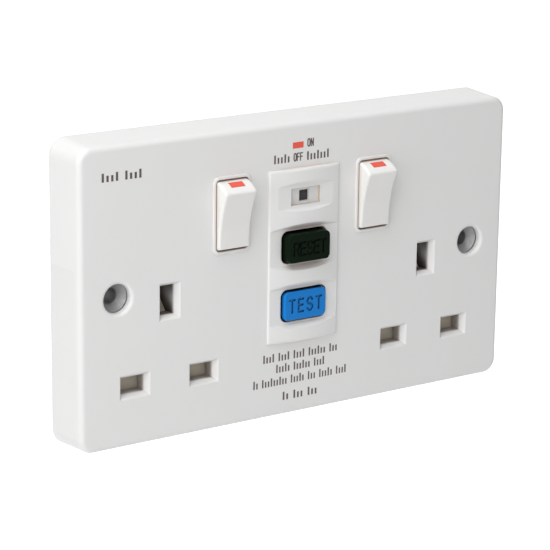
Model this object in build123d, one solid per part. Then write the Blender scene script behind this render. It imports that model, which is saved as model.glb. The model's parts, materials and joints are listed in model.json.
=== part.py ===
from build123d import *
import math
import os

# Two gang switched wall socket with residual current protection, in millimetres.
# X runs to the right, Z up and Y into the wall. The wall plane is y = 0 and the
# origin lies midway between the two fixing screws.

# Layout of the front, which the size of the plate follows
outlet_spacing = 87.86
fixing_from_outlet = 16.37
edge_from_fixing = 12.7
pin_from_bottom = 17.9
pin_drop = 22.2
pin_spacing = 22.2
rocker_above_earth = 21.75
rocker_from_top = 24.15
rocker_spacing = 48.1

# Front plate
plate_depth = 14.0
plate_corner = 5.0
side_draft = 3.4
front_edge_round = 1.6
side_wall = 2.2
face_wall = 2.5
boss_radius = 3.2
pilot_floor = 0.5
joint_lap = 0.5
fit_gap = 0.05

# Fixing holes
fixing_lip_radius = 4.15
fixing_lip_depth = 2.2
fixing_lip_round = 1.0
eyelet_bore_radius = 2.25
eyelet_flange_radius = 5.4
eyelet_boss_wall = 1.2
eyelet_rim_width = 0.45
eyelet_rim_depth = 0.3
eyelet_dish_depth = 2.6
eyelet_wall = 1.3
eyelet_back = 1.0

# Socket outlets
pin_slot_width = 7.4
pin_slot_height = 4.7
earth_slot_width = 4.5
earth_slot_height = 8.4
slot_bevel = 1.0
slot_bevel_depth = 1.8
slot_mouth_round = 0.35
slot_tunnel_depth = 5.2
slot_collar_wall = 1.2
rail_overhang = 5.8
rail_foot = 6.0

# Rocker switches
rocker_width = 10.2
rocker_end_radius = 9.82
rocker_tip = 5.4
rocker_mid = 4.4
rocker_pivot_depth = 1.8
rocker_angle = 12.5
rocker_edge_round = 0.7
rocker_gap = 0.22
rocker_end_gap = 0.28
rocker_corner = 1.2
rocker_shoulder = 2.0
rocker_edges_above = 1.0
rocker_under = 5.0
rocker_under_half = 5.5
rocker_wall = 1.3
rocker_floor = 1.8
hollow_front_half = 6.3
hollow_bulge_depth = 1.6
hollow_bulge_half = 8.0
hollow_back_half = 4.4
rim_width = 0.95
rim_height = 0.45
trunnion_radius = 1.1
trunnion_length = 1.6
trunnion_end_gap = 0.2
running_gap = 0.06
well_wall = 2.1
well_depth = 5.0
flag_width = 4.5
flag_height = 2.2
flag_from_tip = 2.4

# Switch levers under the rockers
plunger_reach = 8.6
plunger_radius = 1.5
plunger_back = 4.6
plunger_bore_front = -1.0
plunger_tube_end = 7.4
plunger_tube_radius = 2.4
rocker_spring_radius = 1.1
spring_wire = 0.2
spring_turns = 7
spring_seat_gap = 0.05
lever_drop = 10.5
lever_width = 6.0
lever_half = 9.5
lever_thickness = 0.8
lever_bend = 7.0
lever_angle = 5.0
lever_face = 1.76
lever_rod_radius = 0.9
lever_saddle_inset = 0.3
lever_saddle_height = 3.8
contact_radius = 1.4
contact_offset = 8.0
contact_height = 0.8
contact_sink = 0.2
contact_gap = 0.05
contact_margin = 0.2

# Raised centre panel
panel_width = 24.0
panel_low = -20.6
panel_high = 29.4
panel_bulge = 2.0
panel_side_step = 0.5
panel_edge_round = 0.8
button_floor = 0.6
window_floor = 1.1
pocket_slope = 1.1
reset_z = 7.0
test_z = -9.95
window_z = 21.35
button_pocket_height = 10.3
window_pocket_height = 6.4

# Push buttons
button_width = 14.7
button_height = 8.7
button_corner = 1.7
button_draft = 2.6
button_gap = 0.38
reset_proud = 3.5
test_proud = 1.75
reset_travel = 2.4
test_travel = 1.2
button_edge_round = 0.5
button_stop_gap = 0.3
word_width = 11.4
word_height = 4.2
letter_width = 2.3
letter_stroke = 0.6
letter_depth = 0.35
button_flange = 1.05
flange_thickness = 1.0
flange_gap = 0.2
stem_radius = 1.5
test_stem_end = -6.3
reset_stem_end = 3.8
latch_groove = (0.9, 1.7)
groove_radius = 1.05
button_spring_radius = 2.3
button_spring_wire = 0.22
button_spring_turns = 5
spring_rest_gap = 0.02

# Indicator window
lens_width = 9.5
lens_height = 4.55
lens_thickness = 0.8
lens_gap = 0.1
mask_width = 11.6
mask_height = 6.6
mask_gap = 0.2
mask_hole_width = 3.3
mask_hole_height = 3.2
mask_thickness = 0.8
slider_travel = 4.0
slider_width = 5.0
slider_thickness = 0.6
slider_gap = 0.15
slider_side_gap = 0.4
slider_end_room = 1.2
slider_end_lap = 0.4
slider_pad_inset = 0.1
slider_tail_back = -1.5
slider_tail_height = 2.0
finger_width = 3.0
tile_side_inset = 0.2
tile_thickness = 0.2

# Shutters
shutter_thickness = 1.8
shutter_side_lap = 1.2
shutter_low_lap = 1.15
shutter_high_lap = 0.85
shutter_spare_travel = 0.45
shutter_seat_wall = 2.5
seat_width = 6.0
seat_depth = 9.0
seat_in_wall = 1.2
shutter_spring_radius = 1.2
spring_end_gap = 0.1
ramp_gap = 0.2
ramp_slope = 47.4
ramp_foot = 7.0
ramp_root_height = 1.5
ramp_start = 4.4
ramp_run = 5.6
ramp_nose = 0.9
ramp_nose_height = 1.4
ramp_web_drop = 0.6
shutter_gap = 0.4

# Rear housing
housing_side_margin = 1.07
housing_edge_margin = 12.0
housing_front = -6.0
deck_front = 4.8
deck_thickness = 2.0
rear_margin = 6.57
rear_depth = 20.0
housing_wall = 2.0
lug_notch_gap = 0.7
lug_notch_half = 8.0
housing_round = 1.2
rear_edge_round = 0.6
hollow_floor = 1.5
hollow_top_drop = 6.7
earth_well_width = 9.2
earth_well_height = 13.2
support_width = 2.6
support_height = 3.0
riser_support_drop = 8.85
cheek_gap = 0.8
cheek_wall = 1.2
cheek_height = 6.4
pad_width = 5.0
pad_height = 3.0
upper_screw_inset = 9.0
upper_screw_drop = 7.0
lower_screw_x = 12.0
lower_screw_rise = 5.0
rib_from_module = 15.5
rib_thickness = 1.4
screw_radius = 1.45
screw_pilot_radius = 1.5
screw_clear_radius = 1.7
screw_head_radius = 2.8
screw_head_height = 1.8
screw_head_round = 0.8
screw_head_gap = 0.5
screw_tip_gap = 1.5
screw_slot = 0.7
screw_slot_depth = 0.9
screw_cross = 3.4

# Contacts, bars and terminals
strip_thickness = 0.8
pin_thickness = 4.0
pin_width = 6.35
earth_pin_height = 8.0
clip_front = -5.5
clip_back = 4.0
earth_clip_front = -0.8
earth_clip_back = 9.8
clip_spring_gap = 0.1
clip_side_lap = 0.6
clip_flare = 1.1
clip_flare_length = 1.6
earth_flare = 0.5
earth_flare_length = 0.6
tab_height = 3.4
tab_reach = 2.5
riser_width = 3.0
right_riser_offset = 8.0
bar_tab = 5.0
neutral_tail_out = 1.0
neutral_tail_in = 2.0
neutral_foot_rise = 0.9
busbar_behind_lever = 4.2
busbar_lap = 4.0
busbar_height = 4.0
busbar_tail_x = 6.5
rod_lap = 1.2
strap_drop = 8.2
bar_above_pins = 5.1
bar_width = 3.0
earth_bar_above_pins = 3.1
earth_bar_width = 4.0
live_cross_above_pins = 8.5
terminal_width = 7.2
terminal_depth = 9.2
terminal_height = 10.0
terminal_inset = 0.8
terminal_gap = 0.6
terminal_round = 0.5
notch_gap = 0.4
tail_lap = 2.5
tail_drop = 4.6
tail_height = 3.0
tail_overlap = 0.6
tail_notch_reach = 3.0
bore_margin = 0.2
screw_start_gap = 0.25
screw_sink = 0.6
cable_bore_radius = 2.1
cable_bore_depth = 3.7
terminal_screw_radius = 1.9
terminal_from_module = 8.5
terminal_pitch = 14.0

# Protection module
module_half_width = 15.5
module_low = -15.5
frame_plate = 1.0
frame_high = 13.8
frame_end_gap = 0.7
frame_leg_width = 2.2
frame_leg_height = 2.0
guide_radius = 3.2
guide_wall = 1.0
guide_floor = 0.8
guide_gap = 0.25
reset_guide_end = -3.4
test_guide_end = -5.0
carrier_travel = 2.0
carrier_front = -1.0
carrier_back = 2.0
carrier_half_width = 11.5
carrier_low = 1.0
carrier_high = 13.0
carrier_round = 0.8
carrier_gap = 0.3
latch_travel = 1.5
latch_thickness = 0.8
latch_gap = 0.1
latch_width = 8.0
latch_low = -1.0
latch_high = 12.0
latch_hole = 3.8
latch_hole_round = 1.8
latch_push_gap = 0.3
contact_columns = 10.0
contact_point_z = 4.0
contact_strip = 0.48
contact_strip_width = 2.8
moving_strip_z = (2.0, 11.0)
point_height = 0.7
point_radius = 1.2
fixed_strip = 0.6
fixed_strip_height = 4.0
fixed_contact_inset = 2.1
solenoid_y = 1.4
coil_radius = 4.2
coil_low = -14.0
coil_high = -3.4
bobbin_radius = 2.3
bobbin_flange = 0.8
winding_inset = 0.4
trip_plunger_radius = 1.5
plunger_rise = 1.4
plunger_proud = 0.9
push_rod_radius = 1.0
yoke_width = 11.2
yoke_reach = 4.0
yoke_plate = 0.8
yoke_bore_gap = 0.15
leaf_gap = 0.15
leaf_thickness = 0.4
leaf_height = 2.4
leaf_inset = 1.3
leaf_overhang = 2.0
leaf_foot = 0.6
board_front = 9.0
board_thickness = 1.6
board_side_gap = 0.7
board_end_gap = 0.5
board_pin_room = 1.8
post_width = 4.0
post_height = 3.0
toroid_z = 5.0
toroid_outer = 6.6
toroid_inner = 4.4
toroid_gap = 0.6
toroid_wire = 0.4
toroid_turns = 10
toroid_turn_width = 1.2
component_inset = 6.3
component_drop = 4.5
capacitor_height = 7.0
capacitor_radius = 3.0
capacitor_round = 0.5
resistor_inset = 5.0
resistor_rise = 6.0
resistor_length = 5.2
resistor_radius = 1.2
resistor_lead = 0.8
lead_radius = 0.3
board_lead = 1.6
thyristor_height = 3.6
thyristor_radius = 2.4
thyristor_lead = 1.4
lead_pitch = 1.2
lead_width = 0.45

# Printed legends
ink = 0.05
print_stroke = 0.34
print_pitch = 1.14
print_fill = 0.46
print_height = 2.4
print_low_height = 1.7
side_legend_x = 7.9
side_legend_drop = 10.4
side_legend_width = 13.0
off_row_rise = 1.8
on_row_rise = 5.5
off_row_marks = ((-10.1, 5), (1.0, 7))
off_word_x = -3.6
off_word_width = 3.2
on_word_x = 1.0
on_word_width = 2.2
red_patch_width = 3.6
red_patch_gap = 1.3
legend_rows = (
    (5.3, 26.0, (4, 4, 4, 6, 3)),
    (8.7, 17.1, (5, 6, 4)),
    (12.4, 32.6, (2, 9, 5, 3, 5, 4)),
    (17.1, 12.4, (2, 3, 3)),
)

face_y = -plate_depth
inner_y = face_y + face_wall
fixing_spacing = outlet_spacing + 2 * fixing_from_outlet
plate_width = fixing_spacing + 2 * edge_from_fixing
plate_height = pin_from_bottom + pin_drop + rocker_above_earth + rocker_from_top
outlets = {"left": -outlet_spacing / 2, "right": outlet_spacing / 2}
rockers = {"left": -rocker_spacing / 2, "right": rocker_spacing / 2}
pin_z = pin_from_bottom - plate_height / 2
earth_z = pin_z + pin_drop
rocker_z = earth_z + rocker_above_earth
eyelet_boss_radius = eyelet_flange_radius + eyelet_boss_wall
shutter_width = pin_spacing + pin_slot_width + 2 * shutter_side_lap
shutter_low = pin_z - pin_slot_height / 2 - shutter_low_lap
shutter_high = pin_z + pin_slot_height / 2 + shutter_high_lap
shutter_travel = pin_slot_height + shutter_high_lap + shutter_spare_travel
shutter_seat = side_wall + shutter_seat_wall - plate_height / 2
housing_half_width = outlet_spacing / 2 + shutter_width / 2 + housing_side_margin
housing_half_height = plate_height / 2 - housing_edge_margin
rear_half_width = outlet_spacing / 2 + rear_margin
lug_notch_x = fixing_spacing / 2 - eyelet_boss_radius - lug_notch_gap
screw_columns = (
    (housing_half_width - upper_screw_inset, housing_half_height - upper_screw_drop),
    (lower_screw_x, lower_screw_rise - housing_half_height),
)
bar_low = pin_z + bar_above_pins
bar_high = bar_low + bar_width
earth_bar_low = pin_z + earth_bar_above_pins
earth_bar_high = earth_bar_low + earth_bar_width
live_cross_low = pin_z + live_cross_above_pins
terminal_front = earth_clip_back - 1.0
terminal_back = terminal_front + terminal_depth
terminal_high = housing_half_height - terminal_inset
terminal_low = terminal_high - terminal_height
cable_bore_y = terminal_front + cable_bore_depth
inner_column = module_half_width + terminal_from_module
outer_column = inner_column + terminal_pitch
terminal_columns = (-outer_column, -inner_column, inner_column, outer_column)
module_high = housing_half_height - housing_wall
module_depth = rear_depth - housing_wall
board_half_width = module_half_width - board_side_gap
board_low = module_low + board_end_gap
board_high = module_high - board_end_gap
pivot_y = face_y + rocker_pivot_depth
lever_y = pivot_y + lever_drop
deck_back = deck_front + deck_thickness
frame_front = inner_y + flange_gap + flange_thickness + reset_travel + button_stop_gap
frame_low = module_low + frame_end_gap
lens_front = face_y - window_floor + lens_gap
slider_front = lens_front + lens_thickness + mask_thickness + slider_gap
tile_width = slider_width - 2 * tile_side_inset


def span(centre, width):
    return (centre - width / 2, centre + width / 2)


def block(x, y, z):
    """Box between pairs of x, y and z values."""
    size = (x[1] - x[0], y[1] - y[0], z[1] - z[0])
    middle = ((x[0] + x[1]) / 2, (y[0] + y[1]) / 2, (z[0] + z[1]) / 2)
    return Pos(*middle) * Box(*size)


def wall_plane(x, y, z):
    """Drawing plane that faces out of the wall."""
    return Plane(origin=(x, y, z), x_dir=(1, 0, 0), z_dir=(0, -1, 0))


def rod_y(x, z, y, radius):
    return extrude(wall_plane(x, y[1], z) * Circle(radius), amount=y[1] - y[0])


def cone_y(x, z, y, front_radius, back_radius):
    rotate = Rot(90, 0, 0)
    middle = Pos(x, (y[0] + y[1]) / 2, z)
    return middle * rotate * Cone(back_radius, front_radius, y[1] - y[0])


def rod_x(y, z, x, radius):
    plane = Plane(origin=(x[0], y, z), x_dir=(0, 1, 0), z_dir=(1, 0, 0))
    return extrude(plane * Circle(radius), amount=x[1] - x[0])


def rod_z(x, y, z, radius):
    return extrude(Plane.XY.offset(z[0]) * Pos(x, y) * Circle(radius), amount=z[1] - z[0])


def slab(x, z, y, width, height, corner, draft=0.0):
    """Rounded rectangle that runs from y[1] out to y[0] and narrows by its draft."""
    outline = wall_plane(x, y[1], z) * RectangleRounded(width, height, corner)
    return extrude(outline, amount=y[1] - y[0], taper=draft)


def profile_x(points, x):
    """Polygon of (y, z) points, as thick as the pair of x values."""
    plane = Plane(origin=(x[0], 0, 0), x_dir=(0, 1, 0), z_dir=(1, 0, 0))
    face = plane * make_face(Polyline(*points, close=True))
    return extrude(face, amount=x[1] - x[0], dir=(1, 0, 0))


def funnel(x, z, width, height):
    """Bevelled mouth of a pin slot, widest at the face."""
    deep = wall_plane(x, face_y + slot_bevel_depth, z) * Rectangle(width, height)
    wide = 2 * slot_bevel
    mouth = wall_plane(x, face_y, z) * Rectangle(width + wide, height + wide)
    return loft([deep.face(), mouth.face()])


def coil_spring(radius, wire, length, turns):
    """Helical spring standing on the XY plane, with its axis along Z."""
    height = length - 2 * wire
    path = Helix(height / turns, height, radius)
    ring = Plane(origin=path @ 0, z_dir=path % 0) * Circle(wire)
    return Pos(0, 0, wire) * sweep(ring, path=path, is_frenet=True)


def spring_y(x, z, y, radius, wire, turns):
    spring = coil_spring(radius, wire, y[1] - y[0], turns)
    return Pos(x, y[1], z) * Rot(90, 0, 0) * spring


# Letters as strokes in a box one unit high and one wide: each stroke is a list of points
LETTERS = {
    "T": (((0, 1), (1, 1)), ((0.5, 1), (0.5, 0))),
    "E": (((0.95, 1), (0, 1), (0, 0), (0.95, 0)), ((0, 0.53), (0.85, 0.53))),
    "S": (
        ((0.97, 0.84), (0.7, 1), (0.27, 1), (0, 0.84), (0, 0.66), (0.2, 0.55)),
        ((0.2, 0.55), (0.8, 0.45), (1, 0.34), (1, 0.16), (0.73, 0), (0.27, 0), (0, 0.16)),
    ),
    "R": (
        ((0, 0), (0, 1), (0.7, 1), (0.97, 0.88), (0.97, 0.6), (0.7, 0.48), (0, 0.48)),
        ((0.57, 0.48), (1, 0)),
    ),
    "O": (
        ((0.27, 0), (0, 0.2), (0, 0.8), (0.27, 1), (0.73, 1), (1, 0.8), (1, 0.2)),
        ((1, 0.2), (0.73, 0), (0.27, 0)),
    ),
    "N": (((0, 0), (0, 1), (1, 0), (1, 1)),),
    "F": (((0, 0), (0, 1), (0.95, 1)), ((0, 0.52), (0.8, 0.52))),
}


def stroke_slot(first, second, stroke):
    """Round ended stroke between two points."""
    run = math.hypot(second[0] - first[0], second[1] - first[1])
    angle = math.degrees(math.atan2(second[1] - first[1], second[0] - first[0]))
    middle = Pos((first[0] + second[0]) / 2, (first[1] + second[1]) / 2)
    return middle * Rot(0, 0, angle) * SlotOverall(run + stroke, stroke)


def letter_strokes(text, width, height, letter, stroke):
    """Flat word centred on the drawing origin, with its own width and letter width."""
    advance = (width - letter) / (len(text) - 1)
    reach = letter - stroke
    rise = height - stroke
    pieces = []
    for place, name in enumerate(text):
        left = -width / 2 + stroke / 2 + place * advance
        for points in LETTERS[name]:
            moved = [(left + px * reach, (py - 0.5) * rise) for px, py in points]
            for first, second in zip(moved, moved[1:]):
                pieces.append(stroke_slot(first, second, stroke))
    return Sketch() + pieces


def front_plate():
    depth = (face_y, 0.0)
    shell = slab(0, 0, depth, plate_width, plate_height, plate_corner, side_draft)
    front = shell.faces().sort_by(Axis.Y)[0]
    shell = fillet(front.edges(), front_edge_round)
    inner_width = plate_width - 2 * side_wall
    inner_height = plate_height - 2 * side_wall
    inner_corner = plate_corner - side_wall
    shell -= slab(0, 0, (inner_y, 0.0), inner_width, inner_height, inner_corner, side_draft)
    shell += centre_panel()
    for x in outlets.values():
        shell = cut_outlet(shell, x)
    for x in rockers.values():
        shell = cut_rocker_well(shell, x)
    for side in (-1, 1):
        shell = cut_fixing_hole(shell, side * fixing_spacing / 2)
    for column in screw_columns:
        for side in (-1, 1):
            x, z = side * column[0], column[1]
            shell += rod_y(x, z, (inner_y, housing_front), boss_radius)
            shell -= rod_y(x, z, (inner_y + pilot_floor, housing_front), screw_pilot_radius)
    shell = cut_button_opening(shell, reset_z)
    shell = cut_button_opening(shell, test_z)
    return cut_window(shell)


def centre_panel():
    """Cylindrical bulge across the centre panel, with scooped pockets."""
    half = panel_width / 2
    rise = panel_bulge - panel_side_step
    radius = (half ** 2 + rise ** 2) / (2 * rise)
    axis_y = face_y - panel_bulge + radius
    bulge = rod_z(0, axis_y, (panel_low, panel_high), radius)
    bulge &= block((-half, half), (face_y - panel_bulge - 1, face_y + 1), (panel_low, panel_high))
    bulge = fillet(bulge.edges().filter_by(lambda edge: edge.center().Y < face_y), panel_edge_round)
    pockets = (
        (reset_z, button_pocket_height, button_floor),
        (test_z, button_pocket_height, button_floor),
        (window_z, window_pocket_height, window_floor),
    )
    for z, height, floor in pockets:
        bulge -= pocket_cut(z, height, floor)
    return bulge


def pocket_cut(z, height, floor):
    """Room in front of a flat pocket floor, with walls that slope outwards."""
    floor_y = face_y - floor
    front_y = face_y - panel_bulge - joint_lap
    rise = (floor_y - front_y) * pocket_slope
    half = height / 2
    points = [
        (floor_y, z - half),
        (front_y, z - half - rise),
        (front_y, z + half + rise),
        (floor_y, z + half),
    ]
    return profile_x(points, (-panel_width, panel_width))


def slot_places(x):
    """Centre and size of each pin slot in the outlet centred at x."""
    reach = pin_spacing / 2
    return (
        (x, earth_z, earth_slot_width, earth_slot_height),
        (x - reach, pin_z, pin_slot_width, pin_slot_height),
        (x + reach, pin_z, pin_slot_width, pin_slot_height),
    )


def mouth_edges(shell, x):
    """Straight edges around the slot mouths of the outlet centred at x, in the plane of the face."""
    reach = pin_spacing / 2 + pin_slot_width / 2 + slot_bevel + 0.1
    edges = shell.edges().filter_by(GeomType.LINE)
    edges = edges.filter_by(lambda edge: abs(edge.center().Y - face_y) < 0.01)
    edges = edges.filter_by(lambda edge: abs(edge.center().X - x) < reach)
    top = earth_z + earth_slot_height / 2 + slot_bevel + 0.1
    return edges.filter_by(lambda edge: edge.center().Z < top and edge.length < 2 * earth_slot_height)


def cut_outlet(shell, x):
    tunnel_end = face_y + slot_tunnel_depth
    rail_back = face_y + slot_tunnel_depth + rail_overhang
    for cx, cz, width, height in slot_places(x):
        outer = 2 * slot_collar_wall
        collar = (inner_y - joint_lap, tunnel_end)
        shell += block(span(cx, width + outer), collar, span(cz, height + outer))
        shell -= block(span(cx, width), (face_y - 1, tunnel_end + 1), span(cz, height))
        shell -= funnel(cx, cz, width, height)
    shell = fillet(mouth_edges(shell, x), slot_mouth_round)
    for side in (-1, 1):
        inner = x + side * earth_slot_width / 2
        rail = sorted((inner, inner + side * slot_collar_wall))
        top = earth_z + earth_slot_height / 2 + slot_collar_wall
        shell += block(rail, (inner_y - joint_lap, rail_back), (earth_z - rail_foot, top))
    seat = (side_wall - seat_in_wall - plate_height / 2, shutter_seat)
    return shell + block(span(x, seat_width), (inner_y - joint_lap, face_y + seat_depth), seat)


def rocker_opening(x, y, grow=0.0):
    width = rocker_width + 2 * (rocker_gap + grow)
    height = 2 * (rocker_end_radius + rocker_end_gap + grow)
    return slab(x, rocker_z, y, width, height, rocker_corner + grow)


def cut_rocker_well(shell, x):
    rim = rocker_opening(x, (face_y - rim_height, face_y + joint_lap), rim_width)
    crest = rim.faces().sort_by(Axis.Y)[0]
    rim = fillet(crest.edges(), rim_height * 0.9)
    shell += rim
    shell += rocker_opening(x, (inner_y - joint_lap, inner_y + well_depth), well_wall)
    shell -= rocker_opening(x, (face_y - 2, inner_y + well_depth + 1))
    half = rocker_width / 2 + rocker_gap + trunnion_length
    hole = trunnion_radius + running_gap
    return shell - rod_x(pivot_y, rocker_z, (x - half, x + half), hole)


def cut_fixing_hole(shell, x):
    shell += rod_y(x, 0, (inner_y - joint_lap, 0.0), eyelet_boss_radius)
    seat_y = face_y + fixing_lip_depth
    shell -= rod_y(x, 0, (face_y - 1, seat_y + 0.1), fixing_lip_radius)
    shell -= rod_y(x, 0, (seat_y, 1), eyelet_flange_radius)
    rounding = shell.edges().filter_by(GeomType.CIRCLE)
    rounding = rounding.filter_by(lambda edge: abs(edge.arc_center.X - x) < 0.01)
    rounding = rounding.filter_by(lambda edge: abs(edge.center().Y - face_y) < 0.01)
    rounding = rounding.filter_by(lambda edge: abs(edge.radius - fixing_lip_radius) < 0.01)
    return fillet(rounding, fixing_lip_round)


def button_outline(z, y, grow=0.0, draft=0.0):
    width = button_width + 2 * grow
    height = button_height + 2 * grow
    return slab(0, z, y, width, height, button_corner + grow, draft)


def cut_button_opening(shell, z):
    return shell - button_outline(z, (face_y - 3, inner_y + 1), button_gap)


def cut_window(shell):
    front = face_y - window_floor
    pane = (front - 1, inner_y)
    shell -= block(span(0, lens_width + 2 * lens_gap), pane, span(window_z, lens_height + 2 * lens_gap))
    back = lens_front + lens_thickness
    mask = (span(0, mask_width + 2 * mask_gap), span(window_z, mask_height + 2 * mask_gap))
    shell -= block(mask[0], (back, inner_y + 1), mask[1])
    channel_front = back + mask_thickness + lens_gap
    reach = mask_hole_height / 2 + slider_travel + slider_end_room
    wide = span(0, slider_width + 2 * slider_side_gap)
    return shell - block(wide, (channel_front, inner_y + 1), span(window_z, 2 * reach))


def rocker(x):
    """Concave rocker in its ON position, with trunnions and a plunger tube."""
    radius = rocker_end_radius
    tip_z = math.sqrt(radius ** 2 - rocker_tip ** 2)
    shoulder = (rocker_shoulder, math.sqrt(radius ** 2 - rocker_shoulder ** 2))
    low_shoulder = (shoulder[0], -shoulder[1])
    under = (rocker_under, rocker_under_half)
    side = Plane(origin=(0, 0, 0), x_dir=(0, 1, 0), z_dir=(1, 0, 0))
    outline = [
        ThreePointArc((-rocker_tip, -tip_z), (-rocker_mid, 0), (-rocker_tip, tip_z)),
        ThreePointArc((-rocker_tip, tip_z), (0, radius), shoulder),
        Polyline(shoulder, under, (under[0], -under[1]), low_shoulder),
        ThreePointArc(low_shoulder, (0, -radius), (-rocker_tip, -tip_z)),
    ]
    face = make_face(side * (Curve() + outline))
    half = rocker_width / 2
    body = Pos(-half, 0, 0) * extrude(face, amount=rocker_width, dir=(1, 0, 0))
    edges = body.edges().filter_by(lambda edge: edge.center().Y < -rocker_edges_above)
    body = fillet(edges, rocker_edge_round)
    inner = half - rocker_wall
    body -= rocker_hollow(inner)
    body += rod_y(0, 0, (rocker_floor - rocker_mid - joint_lap, plunger_tube_end), plunger_tube_radius)
    body -= rod_y(0, 0, (plunger_bore_front, plunger_tube_end + 1), plunger_radius + running_gap)
    reach = half + rocker_gap + trunnion_length - trunnion_end_gap
    for hand in (-1, 1):
        body += rod_x(0, 0, sorted((hand * inner, hand * reach)), trunnion_radius)
    return place_rocker(body, x)


def rocker_hollow(half):
    """Room inside the rocker, which follows its front and narrows towards its open back."""
    front = rocker_floor - rocker_mid
    back = rocker_under + joint_lap
    points = [(front, hollow_front_half), (hollow_bulge_depth, hollow_bulge_half), (back, hollow_back_half)]
    mirrored = [(y, -z) for y, z in reversed(points)]
    return profile_x(points + mirrored, (-half, half))


def place_rocker(shape, x):
    """Turn a piece drawn about the rocker's pivot to ON and put it in its well."""
    return Pos(x, pivot_y, rocker_z) * Rot(rocker_angle, 0, 0) * shape


def rocker_flag(x):
    """Thin coloured patch on the rocker's upper end, which shows while it is ON."""
    radius = rocker_end_radius
    tip_z = math.sqrt(radius ** 2 - rocker_tip ** 2)
    start = math.atan2(tip_z, rocker_tip) + flag_from_tip / radius
    turn = flag_height / radius
    rows = []
    for level in (radius, radius + ink):
        angles = [start + turn * share for share in (0, 0.5, 1)]
        rows.append([(-level * math.cos(angle), level * math.sin(angle)) for angle in angles])
    low, high = rows
    outline = [
        ThreePointArc(*low),
        Line(low[-1], high[-1]),
        ThreePointArc(*reversed(high)),
        Line(high[0], low[0]),
    ]
    side = Plane(origin=(0, 0, 0), x_dir=(0, 1, 0), z_dir=(1, 0, 0))
    patch = extrude(make_face(side * (Curve() + outline)), amount=flag_width, dir=(1, 0, 0))
    return place_rocker(Pos(-flag_width / 2, 0, 0) * patch, x)


def rocker_plunger(x):
    """Sprung plunger with a round nose that rides on the switch lever."""
    nose = plunger_reach - plunger_radius
    pin = rod_y(0, 0, (plunger_back, nose), plunger_radius)
    pin += Pos(0, nose, 0) * Sphere(plunger_radius)
    return place_rocker(pin, x)


def rocker_spring(x):
    room = (plunger_bore_front + spring_seat_gap, plunger_back - spring_seat_gap)
    return place_rocker(spring_y(0, 0, room, rocker_spring_radius, spring_wire, spring_turns), x)


def switch_lever(x):
    """Bent moving contact strip that rocks on its pivot rod."""
    bend = math.tan(math.radians(lever_bend))
    end = lever_face + lever_half * bend
    points = [
        (-lever_face, 0),
        (-end, lever_half),
        (-end + lever_thickness, lever_half),
        (-lever_face + lever_thickness, 0),
        (-end + lever_thickness, -lever_half),
        (-end, -lever_half),
    ]
    half = lever_width / 2
    strip = profile_x(points, (-half, half))
    strip += block((-half, half), (-lever_face + lever_saddle_inset, 0), span(0, lever_saddle_height))
    strip -= rod_x(0, 0, (-half - 1, half + 1), lever_rod_radius + running_gap)
    back = -lever_face - contact_offset * bend + lever_thickness
    strip += rod_y(0, contact_offset, (back - contact_sink, back + contact_height), contact_radius)
    return Pos(x, lever_y, rocker_z) * Rot(-lever_angle, 0, 0) * strip


def fixed_contact_face():
    """Depth at which the closed lever's contact stops."""
    bend = math.tan(math.radians(lever_bend))
    back = -lever_face - contact_offset * bend + lever_thickness + contact_height
    angle = math.radians(lever_angle)
    reach = contact_offset + contact_radius
    return lever_y + back * math.cos(angle) + reach * math.sin(angle) + contact_gap


def shutter(x):
    """Shutter over the two lower slots, with a ramp that the earth pin pushes down."""
    front = face_y + slot_tunnel_depth + shutter_gap
    back = front + shutter_thickness
    foot = earth_z - ramp_foot
    stem = span(x, earth_slot_width - 2 * ramp_gap)
    blade = block(span(x, shutter_width), (front, back), (shutter_low, shutter_high))
    blade += block(stem, (front, back), (shutter_high - 1, foot + ramp_root_height))
    slope = math.tan(math.radians(ramp_slope))
    start_z = earth_z - ramp_start
    top_z = start_z + ramp_run * slope
    nose = front + ramp_run + ramp_nose
    points = [
        (front, foot),
        (front, start_z),
        (front + ramp_run, top_z),
        (nose, top_z),
        (nose, top_z - ramp_nose_height),
        (back, start_z - ramp_web_drop),
        (back, foot),
    ]
    return blade + profile_x(points, stem)


def shutter_spring(x):
    low = shutter_seat + spring_end_gap
    y = face_y + slot_tunnel_depth + shutter_gap + shutter_thickness / 2
    length = shutter_low - low - spring_end_gap
    spring = coil_spring(shutter_spring_radius, spring_wire, length, spring_turns)
    return Pos(x, y, low) * spring


def pin_clip(x):
    """U shaped spring clip that grips a line or neutral pin above and below."""
    wide = span(x, pin_width + 2 * clip_side_lap)
    grip = pin_thickness / 2 - clip_spring_gap
    lip = grip + clip_flare
    bend = clip_front + clip_flare_length
    back = (clip_back - strip_thickness, clip_back)
    clip = block(wide, back, span(pin_z, 2 * (grip + strip_thickness)))
    for side in (-1, 1):
        points = [
            (clip_front, pin_z + side * lip),
            (bend, pin_z + side * grip),
            (clip_back, pin_z + side * grip),
            (clip_back, pin_z + side * (grip + strip_thickness)),
            (bend, pin_z + side * (grip + strip_thickness)),
            (clip_front, pin_z + side * (lip + strip_thickness)),
        ]
        clip += profile_x(points, wide)
    return clip


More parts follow.
